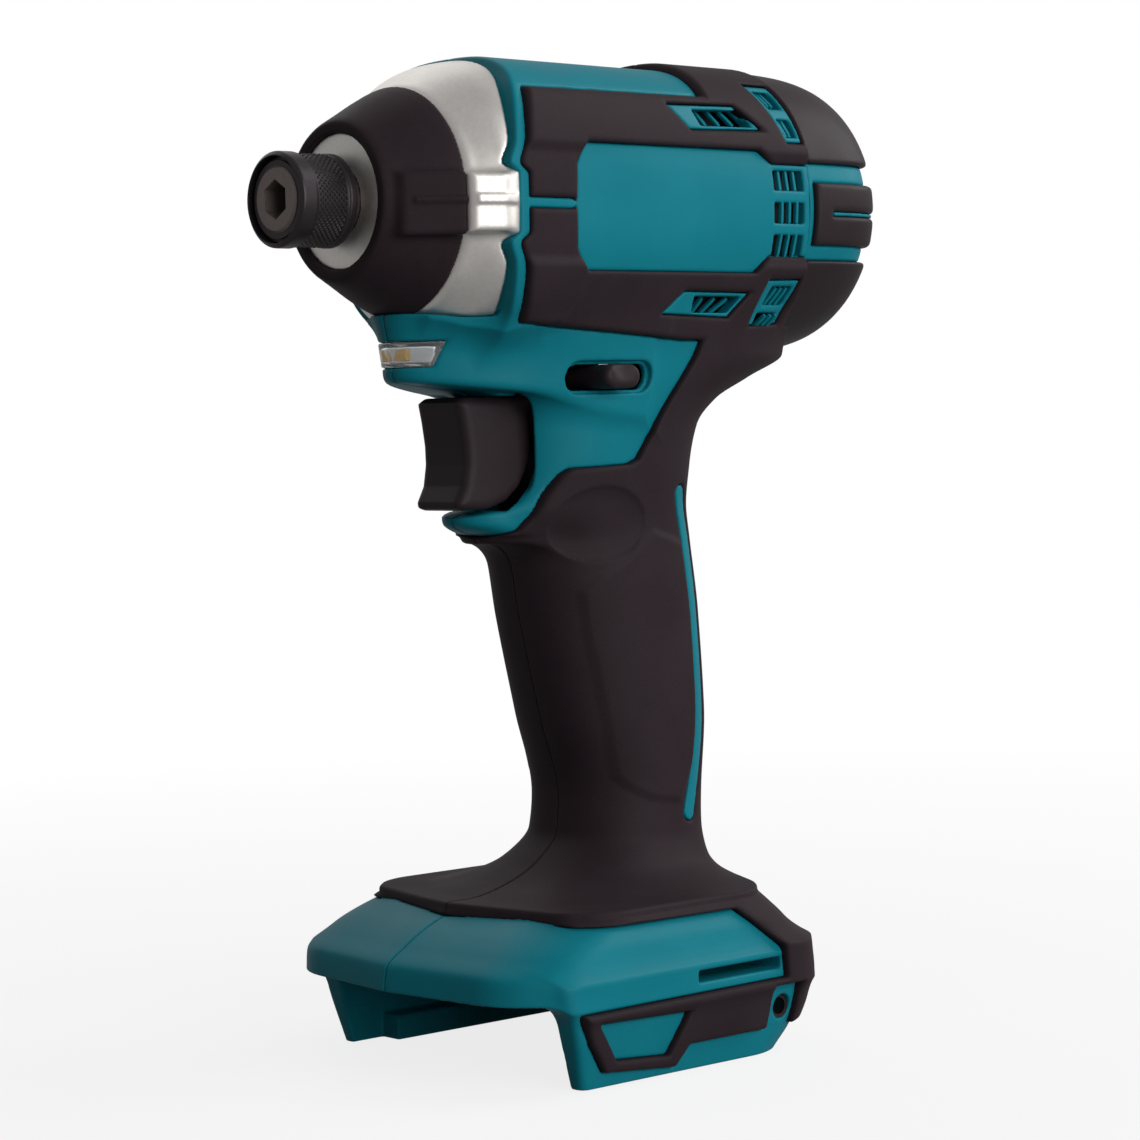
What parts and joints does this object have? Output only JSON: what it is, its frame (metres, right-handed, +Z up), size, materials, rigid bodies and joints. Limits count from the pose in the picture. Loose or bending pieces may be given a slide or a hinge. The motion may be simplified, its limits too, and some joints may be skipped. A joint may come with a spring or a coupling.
{
  "type": "cordless impact driver",
  "caption": "Compact pistol-grip cordless impact driver, bare tool, with a hex bit sleeve, planetary hammer drive, trigger, reversing lever and a slide-on battery foot.",
  "frame": {"origin": "below the middle of the tool, level with the underside of the battery rails", "axes": "+X out of the nose along the bit, +Y to the left of the tool, +Z up"},
  "size_m": [0.1368, 0.079, 0.1923],
  "materials": {
    "housing_plastic": "fine moulded texture",
    "grip_elastomer": "soft matt",
    "cast_aluminium": "satin as cast",
    "steel": "ground",
    "black_steel": "black oxide",
    "bearing_bronze": "sintered",
    "copper": "bare",
    "magnet": "ferrite, matt",
    "carbon": "carbon, matt",
    "black_plastic": "moulded",
    "clear_plastic": "clear, polished",
    "lead_cover": "matt"
  },
  "bodies": {
    "tool": {"housing_left": "housing_plastic", "housing_right": "housing_plastic", "grip_left": "grip_elastomer", "grip_right": "grip_elastomer", "rear_cover": "housing_plastic", "rear_cover_screws": "black_steel", "housing_screws": "black_steel", "hammer_case": "cast_aluminium", "nose_bumper": "grip_elastomer", "anvil_bush": "bearing_bronze", "anvil_thrust_washer": "black_plastic", "case_o_ring": "grip_elastomer", "ring_gear": "steel", "gear_housing": "black_plastic", "spindle_bearing": "steel", "motor_front_bearing": "steel", "motor_rear_bearing": "steel", "motor_yoke": "steel", "motor_magnets": "magnet", "brush_plate": "black_plastic", "carbon_brushes": "carbon", "brush_springs": "steel", "switch_body": "black_plastic", "heat_sink": "cast_aluminium", "led_board": "clear_plastic", "led_lens": "clear_plastic", "terminal_block": "black_plastic", "battery_contacts": "copper", "hook_inserts": "bearing_bronze", "battery_leads": "lead_cover", "motor_leads": "lead_cover", "led_leads": "lead_cover"},
    "spindle": {"spindle": "steel", "planet_pins": "black_steel", "cam_balls": "steel", "spindle_bearing_ring": "steel", "hammer_spring": "steel"},
    "hammer": {"hammer": "black_steel", "hammer_thrust_balls": "steel", "hammer_thrust_washer": "steel"},
    "planet_1": {"planet_gear_1": "steel"},
    "planet_2": {"planet_gear_2": "steel"},
    "planet_3": {"planet_gear_3": "steel"},
    "armature": {"armature_shaft": "steel", "armature_core": "steel", "armature_winding": "copper", "commutator": "copper", "cooling_fan": "black_plastic"},
    "anvil": {"anvil": "black_steel", "sleeve_washer": "steel", "sleeve_clip": "steel", "sleeve_spring": "steel"},
    "bit_sleeve": {"bit_sleeve": "black_steel"},
    "bit_ball_left": {"bit_ball_left": "steel"},
    "bit_ball_right": {"bit_ball_right": "steel"},
    "trigger": {"trigger": "black_plastic"},
    "reverse_lever": {"reverse_lever": "black_plastic"}
  },
  "joints": [
    {"name": "spindle_spin", "type": "hinge", "parent": "tool", "child": "spindle", "pos_m": [0, 0, 0.1635], "axis": [1, 0, 0], "continuous": true},
    {"name": "hammer_slide", "type": "slide", "parent": "spindle", "child": "hammer", "axis": [-1, 0, 0], "range_m": [0, 0.008], "stiffness_N_per_m": 8000, "springref_m": -0.01, "deforming": ["hammer_spring"]},
    {"name": "planet_1_spin", "type": "hinge", "parent": "spindle", "child": "planet_1", "pos_m": [-0.00392, 0.0108, 0.1635], "axis": [1, 0, 0], "continuous": true},
    {"name": "planet_2_spin", "type": "hinge", "parent": "spindle", "child": "planet_2", "pos_m": [-0.00392, -0.0054, 0.15415], "axis": [1, 0, 0], "continuous": true},
    {"name": "planet_3_spin", "type": "hinge", "parent": "spindle", "child": "planet_3", "pos_m": [-0.00392, -0.0054, 0.17285], "axis": [1, 0, 0], "continuous": true},
    {"name": "armature_spin", "type": "hinge", "parent": "tool", "child": "armature", "pos_m": [0, 0, 0.1635], "axis": [1, 0, 0], "continuous": true},
    {"name": "anvil_spin", "type": "hinge", "parent": "tool", "child": "anvil", "pos_m": [0, 0, 0.1635], "axis": [1, 0, 0], "continuous": true},
    {"name": "sleeve_slide", "type": "slide", "parent": "anvil", "child": "bit_sleeve", "axis": [1, 0, 0], "range_m": [0, 0.004], "stiffness_N_per_m": 1200, "springref_m": -0.002, "deforming": ["sleeve_spring"]},
    {"name": "bit_ball_left_slide", "type": "slide", "parent": "anvil", "child": "bit_ball_left", "axis": [0, 1, 0], "range_m": [0, 0.00065]},
    {"name": "bit_ball_right_slide", "type": "slide", "parent": "anvil", "child": "bit_ball_right", "axis": [0, -1, 0], "range_m": [0, 0.00065]},
    {"name": "trigger_slide", "type": "slide", "parent": "tool", "child": "trigger", "axis": [-1, 0, 0], "range_m": [0, 0.006], "stiffness_N_per_m": 900, "springref_m": -0.004},
    {"name": "lever_swing", "type": "hinge", "parent": "tool", "child": "reverse_lever", "pos_m": [-0.01312, 0, 0.1304], "axis": [0, 0, 1], "range_deg": [-9, 9]}
  ],
  "couplings": [
    {"joint": "anvil_spin", "follows": "spindle_spin", "ratio": 1},
    {"joint": "armature_spin", "follows": "spindle_spin", "ratio": 6},
    {"joint": "planet_1_spin", "follows": "spindle_spin", "ratio": -2.5},
    {"joint": "planet_2_spin", "follows": "spindle_spin", "ratio": -2.5},
    {"joint": "planet_3_spin", "follows": "spindle_spin", "ratio": -2.5},
    {"joint": "bit_ball_left_slide", "follows": "sleeve_slide", "ratio": 0.1625},
    {"joint": "bit_ball_right_slide", "follows": "sleeve_slide", "ratio": 0.1625}
  ]
}
